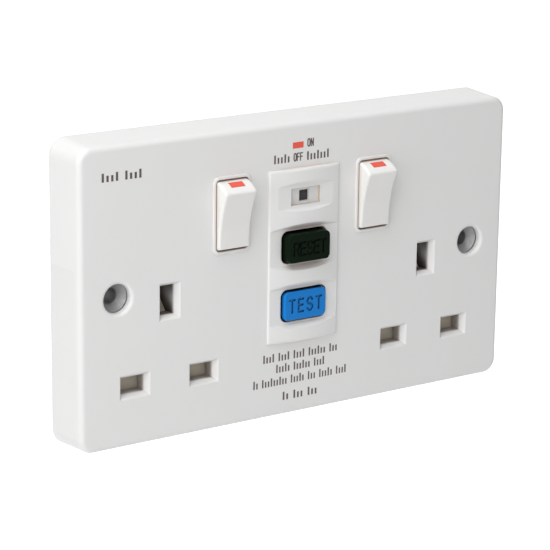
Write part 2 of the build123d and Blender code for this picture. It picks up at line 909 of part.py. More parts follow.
def live_contact(side):
    """Line clip with the strip that carries the switch's fixed contact."""
    x = outlets[side] + pin_spacing / 2
    rocker_x = rockers[side]
    contact_y = fixed_contact_face()
    strip_front = contact_y + contact_height
    y = (strip_front, strip_front + strip_thickness)
    tab = span(rocker_z + contact_offset, tab_height)
    clip_top = pin_z + pin_thickness / 2 - clip_spring_gap
    over_clip = span(x, riser_width)
    if side == "left":
        strip = block(over_clip, y, (clip_top, tab[1]))
        strip += block((over_clip[0], rocker_x + tab_reach), y, tab)
    else:
        riser = span(rocker_x + right_riser_offset, riser_width)
        cross = (live_cross_low, live_cross_low + bar_width)
        strip = block((rocker_x - tab_reach, riser[1]), y, tab)
        strip += block(riser, y, (cross[0], tab[1]))
        strip += block((riser[0], over_clip[1]), y, cross)
        strip += block(over_clip, y, (clip_top, cross[1]))
    seat = rod_y(rocker_x, rocker_z + contact_offset, (contact_y, y[1]), contact_radius + contact_margin)
    return pin_clip(x) + strip + seat


def neutral_contact(side):
    return pin_clip(outlets[side] - pin_spacing / 2)


def neutral_busbar():
    """Bar on the deck that joins the neutral clips and feeds them from the module."""
    y = (clip_back, deck_front)
    centres = [x - pin_spacing / 2 for x in outlets.values()]
    bar = block((centres[0] - bar_tab / 2, centres[1] + bar_tab / 2), y, (bar_low, bar_high))
    for x in centres:
        bar += block(span(x, bar_tab), y, (pin_z - pin_thickness / 2, bar_low + 1))
    tail = (-contact_columns - neutral_tail_out, -contact_columns + neutral_tail_in)
    foot = module_low + neutral_foot_rise
    bar += block(tail, y, (bar_high - 1, foot + strip_thickness))
    bar += block(tail, (clip_back, board_front), (foot, foot + strip_thickness))
    return bar


def live_busbar():
    """Bar with the two pivot rods that feed the switch levers."""
    front = lever_y + busbar_behind_lever
    y = (front, front + strip_thickness)
    bar = block(span(0, rocker_spacing + 2 * busbar_lap), y, span(rocker_z, busbar_height))
    for x in rockers.values():
        wide = span(x, lever_width + 2 * rod_lap)
        bar += block(wide, (lever_y, y[0] + contact_sink), span(rocker_z, strip_thickness))
        bar += rod_x(lever_y, rocker_z, wide, lever_rod_radius)
    foot = rocker_z - busbar_height / 2
    bar += block(span(busbar_tail_x, riser_width), (y[0], board_front), (foot, foot + strip_thickness))
    return bar


def earth_contact(side):
    """Clip that grips the earth pin on its two sides."""
    x = outlets[side]
    grip = pin_thickness / 2 - clip_spring_gap
    tall = span(earth_z, earth_pin_height)
    back = (earth_clip_back - strip_thickness, earth_clip_back)
    clip = block(span(x, 2 * (grip + strip_thickness)), back, tall)
    mouth = (earth_clip_front - earth_flare_length, earth_clip_front + joint_lap)
    for hand in (-1, 1):
        inner = x + hand * grip
        blade = sorted((inner, inner + hand * strip_thickness))
        clip += block(blade, (earth_clip_front, earth_clip_back), tall)
        flare_in = inner + hand * earth_flare
        flare = sorted((flare_in, flare_in + hand * strip_thickness))
        clip += block(flare, mouth, tall)
    return clip


def earth_strap():
    """Folded strap behind the earth clips that joins them to the earth terminals."""
    y = (earth_clip_back, earth_clip_back + strip_thickness)
    reach = outlet_spacing / 2
    cross = (terminal_low - strap_drop - earth_bar_width, terminal_low - strap_drop)
    strap = block(span(0, outlet_spacing + bar_tab), y, (earth_bar_low, earth_bar_high))
    for side in (-1, 1):
        x = side * reach
        column = side * outer_column
        strap += block(span(x, bar_tab), y, (earth_bar_high - 1, cross[1]))
        wide = (min(x, column) - bar_tab / 2, max(x, column) + bar_tab / 2)
        strap += block(wide, y, cross)
        strap += block(span(column, bar_tab), y, (cross[1] - 1, terminal_low))
    return strap


def fixing_eyelets():
    """Metal bushes in the two fixing holes, dished for a countersunk screw."""
    front = face_y + fixing_lip_depth
    dish = front + eyelet_rim_depth
    seat = front + eyelet_dish_depth
    eyelets = []
    for side in (-1, 1):
        x = side * fixing_spacing / 2
        bush = rod_y(x, 0, (front, 0.0), eyelet_flange_radius - fit_gap)
        bush -= rod_y(x, 0, (front - 1, dish), fixing_lip_radius + eyelet_rim_width)
        bush -= cone_y(x, 0, (dish - 0.01, seat), fixing_lip_radius - fit_gap, eyelet_bore_radius)
        bush -= rod_y(x, 0, (front, 1), eyelet_bore_radius)
        relief = rod_y(x, 0, (seat + eyelet_back, 1), eyelet_flange_radius + 1)
        relief -= rod_y(x, 0, (seat, 1), eyelet_bore_radius + eyelet_wall)
        eyelets.append(bush - relief)
    return eyelets


def terminal(column):
    """Brass block with a cable bore and a threaded hole for its clamp screw."""
    middle = (terminal_low + terminal_high) / 2
    body = block(span(column, terminal_width), (terminal_front, terminal_back), (terminal_low, terminal_high))
    body = fillet(body.edges().filter_by(Axis.Y), terminal_round)
    body -= rod_z(column, cable_bore_y, (terminal_low - 1, terminal_high + 1), cable_bore_radius)
    body -= rod_y(column, middle, (cable_bore_y, terminal_back + 1), terminal_screw_radius + fit_gap)
    return body


def line_terminal(column):
    """Line or neutral terminal with its tail to the circuit board."""
    body = terminal(column)
    board_back = board_front + board_thickness
    y = (board_back, board_back + strip_thickness)
    side = 1 if column > 0 else -1
    edge = column - side * terminal_width / 2
    beside_bore = column - side * (cable_bore_radius + bore_margin)
    board_end = side * (module_half_width - tail_lap)
    low = terminal_low - tail_drop
    tail = block(sorted((board_end, beside_bore)), y, (low, low + tail_height))
    neck = (low + tail_height - tail_overlap, terminal_low + joint_lap)
    return body + tail + block(sorted((edge, beside_bore)), y, neck)


def terminal_screws():
    screws = []
    middle = (terminal_low + terminal_high) / 2
    start = cable_bore_y + cable_bore_radius + screw_start_gap
    end = rear_depth - screw_sink
    for column in terminal_columns:
        screw = rod_y(column, middle, (start, end), terminal_screw_radius)
        across = span(column, 2 * terminal_screw_radius)
        screws.append(screw - block(across, (end - screw_slot_depth, end + 1), span(middle, screw_slot)))
    return screws


def housing_screws():
    screws = []
    head = (deck_back, deck_back + screw_head_height)
    slot_y = (head[1] - screw_slot_depth, head[1] + 1)
    for column in screw_columns:
        for side in (-1, 1):
            x, z = side * column[0], column[1]
            screw = rod_y(x, z, (inner_y + screw_tip_gap, deck_back), screw_radius)
            dome = rod_y(x, z, head, screw_head_radius)
            screw += fillet(dome.faces().sort_by(Axis.Y)[-1].edges(), screw_head_round)
            screw -= block(span(x, screw_cross), slot_y, span(z, screw_slot))
            screw -= block(span(x, screw_slot), slot_y, span(z, screw_cross))
            screws.append(screw)
    return screws


def rear_housing():
    """Rear moulding: a tray for the contacts and a deeper box behind its deck."""
    wide = (-housing_half_width, housing_half_width)
    tall = (-housing_half_height, housing_half_height)
    body = block(wide, (housing_front, deck_back), tall)
    body = fillet(body.edges().filter_by(Axis.Y), housing_round)
    rear = block((-rear_half_width, rear_half_width), (deck_back - joint_lap, rear_depth), tall)
    rear = fillet(rear.edges().filter_by(Axis.Y), housing_round)
    body += fillet(rear.faces().sort_by(Axis.Y)[-1].edges(), rear_edge_round)
    body = cut_tray(body)
    body = add_housing_bosses(body)
    body = cut_rear_hollows(body)
    body = cut_terminal_bays(body)
    body = cut_screw_holes(body)
    for post in board_posts():
        body += post
    return body


def cut_tray(body):
    inner_x = housing_half_width - housing_wall
    inner_z = housing_half_height - housing_wall
    tray = block((-inner_x, inner_x), (housing_front - 1, deck_front), (-inner_z, inner_z))
    for side in (-1, 1):
        notch_x = side * (lug_notch_x + housing_half_width + 2) / 2
        depth = housing_half_width + 2 - lug_notch_x
        wall = depth + 2 * housing_wall
        half = lug_notch_half + housing_wall
        tray -= block(span(notch_x, wall), (housing_front - 2, deck_front + 1), (-half, half))
        cut = block(span(notch_x, depth), (housing_front - 2, rear_depth + 1), (-lug_notch_half, lug_notch_half))
        body -= cut
    return body - tray


def add_housing_bosses(body):
    for column in screw_columns:
        for side in (-1, 1):
            post = (housing_front, deck_front + joint_lap)
            body += rod_y(side * column[0], column[1], post, boss_radius)
    strip_back = fixed_contact_face() + contact_height + strip_thickness
    busbar_back = lever_y + busbar_behind_lever + strip_thickness
    riser_z = rocker_z - riser_support_drop
    cross_z = live_cross_low + bar_width / 2
    supports = (
        (outlets["left"] + pin_spacing / 2, riser_z, strip_back),
        (rockers["right"] + right_riser_offset, riser_z, strip_back),
        (outlets["right"] + pin_spacing / 2, cross_z, strip_back),
        (rockers["left"], rocker_z, busbar_back),
        (rockers["right"], rocker_z, busbar_back),
    )
    for x, z, top in supports:
        body += block(span(x, support_width), (top, deck_front + joint_lap), span(z, support_height))
    for x in outlets.values():
        for hand in (-1, 1):
            centre = x + hand * pin_spacing / 2
            for side in (-1, 1):
                cheek = centre + side * (pin_width / 2 + cheek_gap + cheek_wall / 2)
                deep = (housing_front, deck_front + joint_lap)
                body += block(span(cheek, cheek_wall), deep, span(pin_z, cheek_height))
        pad = span(x + pin_spacing / 2, pad_width)
        body += block(pad, (clip_back, deck_front + joint_lap), span(pin_z, pad_height))
    return body


def cut_rear_hollows(body):
    open_rear = rear_depth + 1
    floor = deck_back + hollow_floor
    middle_tall = (module_low - housing_wall, terminal_low - hollow_top_drop)
    low_tall = (housing_wall - housing_half_height, module_low - housing_wall + 0.01)
    ribs = []
    body -= block(span(0, 2 * module_half_width), (deck_front - 1, module_depth), (module_low, module_high))
    for side in (-1, 1):
        x = side * outlet_spacing / 2
        body -= block(span(x, earth_well_width), (deck_front - 1, open_rear), span(earth_z, earth_well_height))
        inner = side * (module_half_width + housing_wall)
        wide = sorted((inner, side * (rear_half_width - housing_wall)))
        body -= block(wide, (floor, open_rear), middle_tall)
        ribs.append((side * (module_half_width + rib_from_module), middle_tall))
        ribs.append((side * (module_half_width + rib_from_module), low_tall))
    ribs.append((0, low_tall))
    body -= block(span(0, 2 * (rear_half_width - housing_wall)), (floor, open_rear), low_tall)
    for x, tall in ribs:
        body += block(span(x, rib_thickness), (deck_back, earth_clip_back), tall)
    return body


def cut_terminal_bays(body):
    open_rear = rear_depth + 1
    for column in terminal_columns:
        wide = span(column, terminal_width + 2 * terminal_gap)
        tall = (terminal_low - terminal_gap, housing_half_height + 1)
        body -= block(wide, (terminal_front, open_rear), tall)
    tail_y = (board_front + board_thickness - notch_gap / 2, open_rear)
    tail_z = (terminal_low - tail_drop - terminal_gap, terminal_low + 1)
    for side in (-1, 1):
        wide = sorted((side * (module_half_width - 1), side * (inner_column + tail_notch_reach)))
        body -= block(wide, tail_y, tail_z)
        strap_z = (terminal_low - strap_drop, terminal_low + 1)
        notch = span(side * outer_column, bar_tab + 2 * notch_gap)
        body -= block(notch, (earth_clip_back - notch_gap / 2, open_rear), strap_z)
    return body


def cut_screw_holes(body):
    for column in screw_columns:
        for side in (-1, 1):
            x, z = side * column[0], column[1]
            body -= rod_y(x, z, (housing_front - 1, rear_depth + 1), screw_clear_radius)
            body -= rod_y(x, z, (deck_back, rear_depth + 1), screw_head_radius + screw_head_gap)
    return body


def indicator_lens():
    depth = (lens_front, lens_front + lens_thickness)
    return block(span(0, lens_width), depth, span(window_z, lens_height))


def indicator_mask():
    front = lens_front + lens_thickness
    mask = block(span(0, mask_width), (front, front + mask_thickness), span(window_z, mask_height))
    hole_y = (front - 1, front + mask_thickness + 1)
    return mask - block(span(0, mask_hole_width), hole_y, span(window_z, mask_hole_height))


def indicator_slider():
    """Two colour slider behind the window: its black pad shows while tripped."""
    back = (slider_front + tile_thickness, slider_front + tile_thickness + slider_thickness)
    half = mask_hole_height / 2 + slider_end_lap
    low = window_z - half - slider_travel
    body = block(span(0, slider_width), back, (low, window_z + half))
    pad = (window_z - half + slider_pad_inset, window_z + half)
    body += block(span(0, tile_width), (slider_front, back[1]), pad)
    body += block(span(0, finger_width), (back[0], slider_tail_back), (low, low + slider_tail_height))
    return body


def indicator_tile():
    half = mask_hole_height / 2 + slider_end_lap
    low = window_z - half - slider_travel
    return block(span(0, tile_width), (slider_front, slider_front + tile_thickness), (low, window_z - half))


def button(z, proud, word, stem_end):
    """Push button with an engraved word, a retaining flange and a guide stem."""
    front = face_y - proud
    body = button_outline(z, (front, inner_y + flange_gap), 0.0, button_draft)
    crown = body.faces().sort_by(Axis.Y)[0]
    body = fillet(crown.edges(), button_edge_round)
    strokes = letter_strokes(word, word_width, word_height, letter_width, letter_stroke)
    body -= extrude(wall_plane(0, front + letter_depth, z) * strokes, amount=letter_depth + 1)
    flange_y = (inner_y + flange_gap, inner_y + flange_gap + flange_thickness)
    body += button_outline(z, flange_y, button_flange)
    body += rod_y(0, z, (flange_y[1], stem_end), stem_radius)
    return body


def reset_button():
    stem = button(reset_z, reset_proud, "RESET", reset_stem_end)
    ring = rod_y(0, reset_z, latch_groove, stem_radius + 1)
    return stem - (ring - rod_y(0, reset_z, latch_groove, groove_radius))


def test_button():
    return button(test_z, test_proud, "TEST", test_stem_end)


def button_spring(z, guide_end):
    start = inner_y + flange_gap + flange_thickness + spring_rest_gap
    end = guide_end - guide_floor - spring_seat_gap
    return spring_y(0, z, (start, end), button_spring_radius, button_spring_wire, button_spring_turns)


def module_frame():
    """Moulded frame that guides the button stems and seats their springs."""
    wide = module_half_width - board_side_gap
    plate = block((-wide, wide), (frame_front, frame_front + frame_plate), (frame_low, frame_high))
    for z, depth in ((reset_z, reset_guide_end), (test_z, test_guide_end)):
        plate += rod_y(0, z, (frame_front, depth), guide_radius + guide_wall)
        plate -= rod_y(0, z, (frame_front - 1, depth - guide_floor), guide_radius)
        plate -= rod_y(0, z, (depth - guide_floor - 1, depth + 1), stem_radius + guide_gap)
    for side in (-1, 1):
        leg = sorted((side * (wide - frame_leg_width), side * wide))
        for z in ((frame_high - frame_leg_height, frame_high), (frame_low, frame_low + frame_leg_height)):
            plate += block(leg, (frame_front, board_front), z)
    return plate


def contact_carrier():
    """Sliding frame that lifts the moving contacts and the flag's finger."""
    half = carrier_half_width
    body = block((-half, half), (carrier_front, carrier_back), (carrier_low, carrier_high))
    body = fillet(body.edges().filter_by(Axis.Y), carrier_round)
    body -= rod_y(0, reset_z, (carrier_front - 1, carrier_back + 1), stem_radius + carrier_gap)
    top = window_z - mask_hole_height / 2 - slider_end_lap - slider_travel - carrier_gap
    finger = (carrier_high - joint_lap, top)
    return body + block(span(0, finger_width), (carrier_front, carrier_back), finger)


def moving_contact(side):
    x = side * contact_columns
    y = (carrier_front - contact_strip, carrier_front)
    strip = block(span(x, contact_strip_width), y, moving_strip_z)
    return strip + rod_y(x, contact_point_z, (y[0] - point_height, y[0] + contact_sink), point_radius)


def fixed_contact(side):
    x = side * contact_columns
    tip_y = carrier_front - contact_strip - point_height - carrier_travel - contact_gap
    back = tip_y - point_height
    y = (back - fixed_strip, back)
    strip = block(span(x, contact_strip_width), y, span(contact_point_z, fixed_strip_height))
    strip += rod_y(x, contact_point_z, (back - contact_sink, tip_y), point_radius)
    outer = side * (module_half_width - fixed_contact_inset)
    arm = span(contact_point_z, contact_strip_width)
    strip += block(sorted((x, outer)), y, arm)
    leg = sorted((outer - side * fixed_strip, outer))
    return strip + block(leg, (y[0], board_front), arm)


def trip_latch():
    """Sliding latch plate that holds the reset stem until the plunger moves it."""
    front = carrier_back + latch_gap
    y = (front, front + latch_thickness)
    plate = block(span(0, latch_width), y, (latch_low, latch_high))
    tall = latch_hole + 2 * latch_travel
    return plate - slab(0, reset_z, (y[0] - 1, y[1] + 1), latch_hole, tall, latch_hole_round)


def trip_plunger():
    pin = rod_z(0, solenoid_y, (coil_low + plunger_rise, coil_high + plunger_proud), trip_plunger_radius)
    return pin + rod_z(0, solenoid_y, (coil_high, latch_low - latch_push_gap), push_rod_radius)


def coil_bobbin():
    body = rod_z(0, solenoid_y, (coil_low, coil_high), bobbin_radius)
    for z in ((coil_low, coil_low + bobbin_flange), (coil_high - bobbin_flange, coil_high)):
        body += rod_z(0, solenoid_y, z, coil_radius)
    return body - rod_z(0, solenoid_y, (coil_low + 1, coil_high + 1), trip_plunger_radius + 0.1)


def coil_winding():
    room = (coil_low + bobbin_flange, coil_high - bobbin_flange)
    winding = rod_z(0, solenoid_y, room, coil_radius - winding_inset)
    return winding - rod_z(0, solenoid_y, (coil_low, coil_high), bobbin_radius)


def coil_yoke():
    """Steel frame round the trip coil, open in front."""
    x = span(0, yoke_width)
    y = (solenoid_y - yoke_reach, board_front - board_pin_room)
    low = block(x, y, (coil_low - yoke_plate, coil_low))
    high = block(x, y, (coil_high, coil_high + yoke_plate))
    back = block(x, (y[1] - yoke_plate, board_front), (coil_low - yoke_plate, coil_high + yoke_plate))
    bore = rod_z(0, solenoid_y, (coil_high - 1, coil_high + 2), trip_plunger_radius + yoke_bore_gap)
    return low + high + back - bore


def test_leaf():
    """Springy strip that the pressed test button closes against the board."""
    front = test_stem_end + test_travel + leaf_gap
    y = (front, front + leaf_thickness)
    outer = module_half_width - leaf_inset
    leaf = block((-leaf_overhang, outer), y, span(test_z, leaf_height))
    return leaf + block((outer - leaf_foot, outer), (y[0], board_front), span(test_z, leaf_height))


def circuit_board():
    depth = (board_front, board_front + board_thickness)
    return block(span(0, 2 * board_half_width), depth, (board_low, board_high))


def board_posts():
    """Blocks on the module's floor that carry the corners of the circuit board."""
    posts = []
    depth = (board_front + board_thickness, module_depth + joint_lap)
    for side in (-1, 1):
        wide = sorted((side * (module_half_width - post_width), side * (module_half_width + joint_lap)))
        posts.append(block(wide, depth, (board_low, board_low + post_height)))
        posts.append(block(wide, depth, (board_high - post_height, board_high)))
    return posts


def toroid_core():
    front = board_front + board_thickness + toroid_gap
    ring = rod_y(0, toroid_z, (front, module_depth - toroid_gap), toroid_outer)
    return ring - rod_y(0, toroid_z, (front - 1, module_depth), toroid_inner)


def toroid_winding():
    """Turns of wire round the sensing core, as separate loops side by side."""
    front = board_front + board_thickness
    y = (front, module_depth - 0.1)
    turn_x = (toroid_inner - toroid_wire - 0.1, toroid_outer + toroid_wire)
    hole_x = (toroid_inner - 0.1, toroid_outer + fit_gap)
    hole_y = (front + toroid_gap, module_depth - toroid_gap)
    turns = []
    for turn in range(toroid_turns):
        loop = block(turn_x, y, span(0, toroid_turn_width))
        loop -= block(hole_x, hole_y, span(0, toroid_turn_width + 1))
        turns.append(Pos(0, 0, toroid_z) * Rot(0, 360 * turn / toroid_turns, 0) * loop)
    return turns


def capacitor():
    x = board_half_width - component_inset
    depth = (board_front - capacitor_height, board_front)
    body = rod_y(x, board_high - component_drop, depth, capacitor_radius)
    return fillet(body.faces().sort_by(Axis.Y)[0].edges(), capacitor_round)


def resistor():
    x = board_half_width - resistor_inset
    y = board_front - board_lead
    z = board_low + resistor_rise
    body = rod_x(y, z, span(x, resistor_length), resistor_radius)
    reach = resistor_length / 2 + resistor_lead
    leads = rod_x(y, z, span(x, 2 * reach), lead_radius)
    for side in (-1, 1):
        leads += rod_y(x + side * (reach - lead_radius), z, (y, board_front), lead_radius)
    return body + leads


def thyristor():
    x = component_inset - board_half_width
    z = board_high - component_drop
    back = board_front - thyristor_lead
    body = rod_y(x, z, (back - thyristor_height, back), thyristor_radius)
    flat = (z + thyristor_radius / 2, z + thyristor_radius + 1)
    body -= block(span(x, 2 * thyristor_radius + 1), (back - thyristor_height - 1, back + 1), flat)
    for lead in (-lead_pitch, 0.0, lead_pitch):
        body += block(span(x + lead, lead_width), (back - 0.2, board_front), span(z, lead_width))
    return body


def ink_block(x, z, width, height):
    """Flat printed mark with its lower left corner at x and z."""
    return block((x, x + width), (face_y - ink, face_y), (z, z + height))


def ink_word(text, x, z, width, height):
    """Printed word whose left end and foot are at x and z."""
    letter = (width + print_stroke) / (len(text) + 0.4)
    word = letter_strokes(text, width, height, letter, print_stroke)
    plane = wall_plane(x + width / 2, face_y, z + height / 2)
    return extrude(plane * word, amount=ink)


def ink_marks(x, z, pitch, count):
    """Row of plain marks in place of a word, some low and some tall as letters are."""
    marks = []
    for place in range(count):
        height = print_height if place % 3 == 0 else print_low_height
        marks.append(ink_block(x + place * pitch, z, pitch * print_fill, height))
    return marks


def mark_row(x, z, width, words):
    """Words of marks that fill a width, with the gap of one mark between two words."""
    places = sum(words) + len(words) - 1
    pitch = width / places
    marks = []
    for count in words:
        marks += ink_marks(x, z, pitch, count)
        x += (count + 1) * pitch
    return marks


def face_print():
    """Printed legends: plain marks in rows, and ON and OFF above the centre panel."""
    side_place = (side_legend_x - plate_width / 2, plate_height / 2 - side_legend_drop)
    legend = mark_row(*side_place, side_legend_width, (4, 4))
    for drop, width, words in legend_rows:
        legend += mark_row(-width / 2, panel_low - drop, width, words)
    low = panel_high + off_row_rise
    for start, count in off_row_marks:
        legend += ink_marks(start, low, print_pitch, count)
    legend.append(ink_word("OFF", off_word_x, low, off_word_width, print_height))
    legend.append(ink_word("ON", on_word_x, panel_high + on_row_rise, on_word_width, print_height))
    return legend


def red_patch():
    """Red field beside the word ON in the legend."""
    x = on_word_x - red_patch_gap - red_patch_width
    return ink_block(x, panel_high + on_row_rise, red_patch_width, print_low_height)


def save(name, shape):
    """Write one node as a STEP file."""
    pieces = shape if isinstance(shape, list) else [shape]
    solids = []
    for piece in pieces:
        solids.extend(piece.solids())
    result = solids[0] if len(solids) == 1 else Compound(children=solids)
    export_step(result, f"parts/{name}.step")


def build():
    os.makedirs("parts", exist_ok=True)
    save("front_plate", front_plate())
    save("rear_housing", rear_housing())
    save("housing_screws", housing_screws())
    for side, x in rockers.items():
        save(f"{side}_rocker", rocker(x))
        save(f"{side}_rocker_flag", rocker_flag(x))
        save(f"{side}_rocker_plunger", rocker_plunger(x))
        save(f"{side}_rocker_spring", rocker_spring(x))
        save(f"{side}_switch_lever", switch_lever(x))
    for side, x in outlets.items():
        save(f"{side}_shutter", shutter(x))
        save(f"{side}_shutter_spring", shutter_spring(x))
        save(f"{side}_live_contact", live_contact(side))
        save(f"{side}_neutral_contact", neutral_contact(side))
        save(f"{side}_earth_contact", earth_contact(side))
    save("live_busbar", live_busbar())
    save("neutral_busbar", neutral_busbar())
    save("earth_strap", earth_strap())
    save("fixing_eyelets", fixing_eyelets())
    save("earth_terminals", [terminal(-outer_column), terminal(outer_column)])
    save("neutral_terminal", line_terminal(-inner_column))
    save("live_terminal", line_terminal(inner_column))
    save("terminal_screws", terminal_screws())
    save("indicator_lens", indicator_lens())
    save("indicator_mask", indicator_mask())
    save("indicator_slider", indicator_slider())
    save("indicator_tile", indicator_tile())
    save("reset_button", reset_button())
    save("reset_spring", button_spring(reset_z, reset_guide_end))
    save("test_button", test_button())
    save("test_spring", button_spring(test_z, test_guide_end))
    save("module_frame", module_frame())
    save("contact_carrier", contact_carrier())
    for side, name in ((-1, "neutral"), (1, "live")):
        save(f"{name}_moving_contact", moving_contact(side))
        save(f"{name}_fixed_contact", fixed_contact(side))
    save("trip_latch", trip_latch())
    save("trip_plunger", trip_plunger())
    save("coil_bobbin", coil_bobbin())
    save("coil_winding", coil_winding())
    save("coil_yoke", coil_yoke())
    save("test_leaf", test_leaf())
    save("circuit_board", circuit_board())
    save("toroid_core", toroid_core())
    save("toroid_winding", toroid_winding())
    save("capacitor", capacitor())
    save("resistor", resistor())
    save("thyristor", thyristor())
    save("face_print", face_print())
    save("red_patch", red_patch())


build()
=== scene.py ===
import json
import math

import bpy
from mathutils import Matrix, Vector


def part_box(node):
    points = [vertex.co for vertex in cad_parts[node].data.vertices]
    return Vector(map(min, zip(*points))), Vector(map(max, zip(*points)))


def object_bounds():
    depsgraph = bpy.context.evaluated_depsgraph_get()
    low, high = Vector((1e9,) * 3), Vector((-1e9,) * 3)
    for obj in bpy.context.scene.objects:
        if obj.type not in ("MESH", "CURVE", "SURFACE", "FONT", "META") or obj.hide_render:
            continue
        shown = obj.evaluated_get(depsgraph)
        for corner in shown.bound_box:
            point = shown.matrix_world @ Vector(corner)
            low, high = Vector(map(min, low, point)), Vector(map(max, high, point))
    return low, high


# Camera, found from the fixing holes and pin slots of the plate. Lengths are in metres.
camera_azimuth = -34.732
camera_elevation = 15.123
camera_roll = 0.703
camera_distance = 0.672163
camera_right = 0.00772
camera_up = 0.001758
focal_px = 2390.945
image_px = 550
sensor_mm = 36.0
clip_start = 0.01
face_y = -0.014

# Light, and the white background that camera, glossy and transmission rays see
world_strength = 0.33
background_strength = 1.0
floor_drop = 0.12
floor_half = 6.0
floor_colour = (0.9, 0.9, 0.9)
floor_glow = 0.97
white = (1.0, 1.0, 1.0)
lamps = {
    "near_lamp": {"place": (-0.32, -0.42, 0.2), "size": 0.2, "power": 0.34},
    "high_lamp": {"place": (-0.45, -0.3, 0.6), "size": 0.4, "power": 1.86},
    "side_lamp": {"place": (-0.5, -0.2, 0.1), "size": 0.3, "power": 0.65},
    "top_lamp": {"place": (-0.1, -0.05, 0.8), "size": 0.5, "power": 2.3},
}
lamp_target = (0.0, -0.005, 0.0)

# Soft edges, mottle, gloss and grain. A radius or depth is in metres, a scale in spots for each metre.
edge_radius = 0.00025
plate_radius = 0.00045
button_radius = 0.0003
edge_samples = 4
colour_drift = 0.97
mottle_scale = 38.0
gloss_scale = 300.0
gloss_spread = 0.04
grain_scale = 2600.0
grain_detail = 3.0
grain_strength = 0.05
grain_depth = 0.00006
noise_detail = 2.0
noise_low = 0.3
noise_high = 0.7

# Shade painted into the base colour in narrow gaps, and in the slots behind the bevels of their mouths. The
# shut and open values are shares of open sky around a point. The painted shade in the slots fades in between
# the two places on Y.
painted_shade_samples = 8
painted_shade_reach = 0.005
painted_shade_shut = 0.24
painted_shade_open = 0.74
slot_from = -0.0124
slot_to = -0.0112
slot_shut = 0.42
slot_open = 1.02
slot_fade = 0.0005
# Painted shade colours: warm_shade deep in the earth slots and in the housing's gaps, pin_shade deep in the
# pin slots, gap_shade (a warm tint) in narrow gaps of the plate and rockers, dark_shade in gaps of the
# buttons and black frame.
warm_shade = (0.035, 0.024, 0.018)
pin_shade = (0.32, 0.28, 0.26)
gap_shade = (0.62, 0.49, 0.4)
dark_shade = (0.001, 0.001, 0.001)

# Rolled metal
metal_drift = 0.88
metal_mottle = 160.0
metal_scale = 900.0
metal_detail = 4.0
metal_radius = 0.00012
metal_strength = 0.12
metal_depth = 0.00004
metal_gloss_below = 0.08
metal_gloss_above = 0.1

# Enamelled wire
wire_colour = (0.72, 0.3, 0.14)
wire_drift = 0.75
wire_mottle = 200.0
wire_rough = (0.28, 0.42)
wire_turns = 900.0
wire_strength = 0.6
wire_depth = 0.0001

# Printed ink
ink_colour = (0.075, 0.055, 0.05)
ink_drift = 1.5
ink_mottle = 900.0
ink_rough = (0.42, 0.6)

# Clear window
window_refraction = 1.49
window_colours = ((0.7, 0.71, 0.71), (0.66, 0.68, 0.68))
window_rough = (0.04, 0.1)
window_radius = 0.0002
window_turn = 0.6
window_front_alpha = 0.03
window_side_alpha = 0.12

# Lacquered circuit board
board_coat = 0.4
board_scale = 160.0
board_colours = {
    "Color1": (0.01, 0.16, 0.06),
    "Color2": (0.015, 0.2, 0.08),
    "Mortar": (0.005, 0.09, 0.035),
}
board_rough = (0.3, 0.4)
board_strength = 0.2
board_depth = 0.00004

# Moulded plastics: colour, roughness and what else differs from the usual. The entry dark is the shade
# painted into narrow gaps, and the entry deep is the shade painted inside the slots.
plastics = {
    "plate_white": {
        "colour": (0.825, 0.822, 0.816),
        "rough": 0.42,
        "drift": 0.985,
        "edge": plate_radius,
        "dark": gap_shade,
        "deep": warm_shade,
    },
    "rocker_white": {
        "colour": (0.85, 0.845, 0.825),
        "rough": 0.34,
        "drift": 0.985,
        "edge": button_radius,
        "grain": 0.02,
        "dark": gap_shade,
    },
    "housing_white": {"colour": (0.7, 0.7, 0.68), "rough": 0.55, "dark": warm_shade},
    "shutter_plastic": {"colour": (0.62, 0.56, 0.46), "rough": 0.6},
    "flag_red": {"colour": (0.85, 0.1, 0.06), "rough": 0.5, "drift": 0.9},
    "flag_black": {"colour": (0.01, 0.01, 0.01), "rough": 0.5, "drift": 0.8, "Specular_IOR_Level": 0.12},
    "button_green": {
        "colour": (0.004, 0.0115, 0.005),
        "rough": 0.3,
        "drift": 0.85,
        "edge": button_radius,
        "grain": 0.04,
        "dark": dark_shade,
        "Specular_IOR_Level": 0.03,
    },
    "button_blue": {
        "colour": (0.01, 0.22, 0.67),
        "rough": 0.3,
        "drift": 0.94,
        "edge": button_radius,
        "grain": 0.04,
        "dark": dark_shade,
        "Specular_IOR_Level": 0.12,
    },
    "mask_grey": {"colour": (0.79, 0.79, 0.78), "rough": 0.5},
    "frame_black": {"colour": (0.02, 0.02, 0.022), "rough": 0.5, "drift": 0.85, "dark": dark_shade},
    "component_dark": {"colour": (0.015, 0.015, 0.02), "rough": 0.3, "drift": 0.8},
    "component_tan": {"colour": (0.5, 0.32, 0.14), "rough": 0.45, "drift": 0.85},
    "ferrite": {"colour": (0.03, 0.03, 0.035), "rough": 0.6, "drift": 0.8},
}

# Bare metals: colour, roughness, and how far the shade painted into narrow gaps darkens the colour
metals = {
    "brass": {"colour": (0.8, 0.56, 0.24), "rough": 0.34, "deep": 0.2},
    "spring_steel": {"colour": (0.56, 0.56, 0.57), "rough": 0.3, "deep": 0.2},
    "zinc_steel": {"colour": (0.4, 0.4, 0.405), "rough": 0.6, "deep": 0.6},
}


def direction_back(azimuth, elevation):
    """Unit vector from the object towards a camera at these angles."""
    a, e = math.radians(azimuth), math.radians(elevation)
    return Vector((math.sin(a) * math.cos(e), -math.cos(a) * math.cos(e), math.sin(e)))


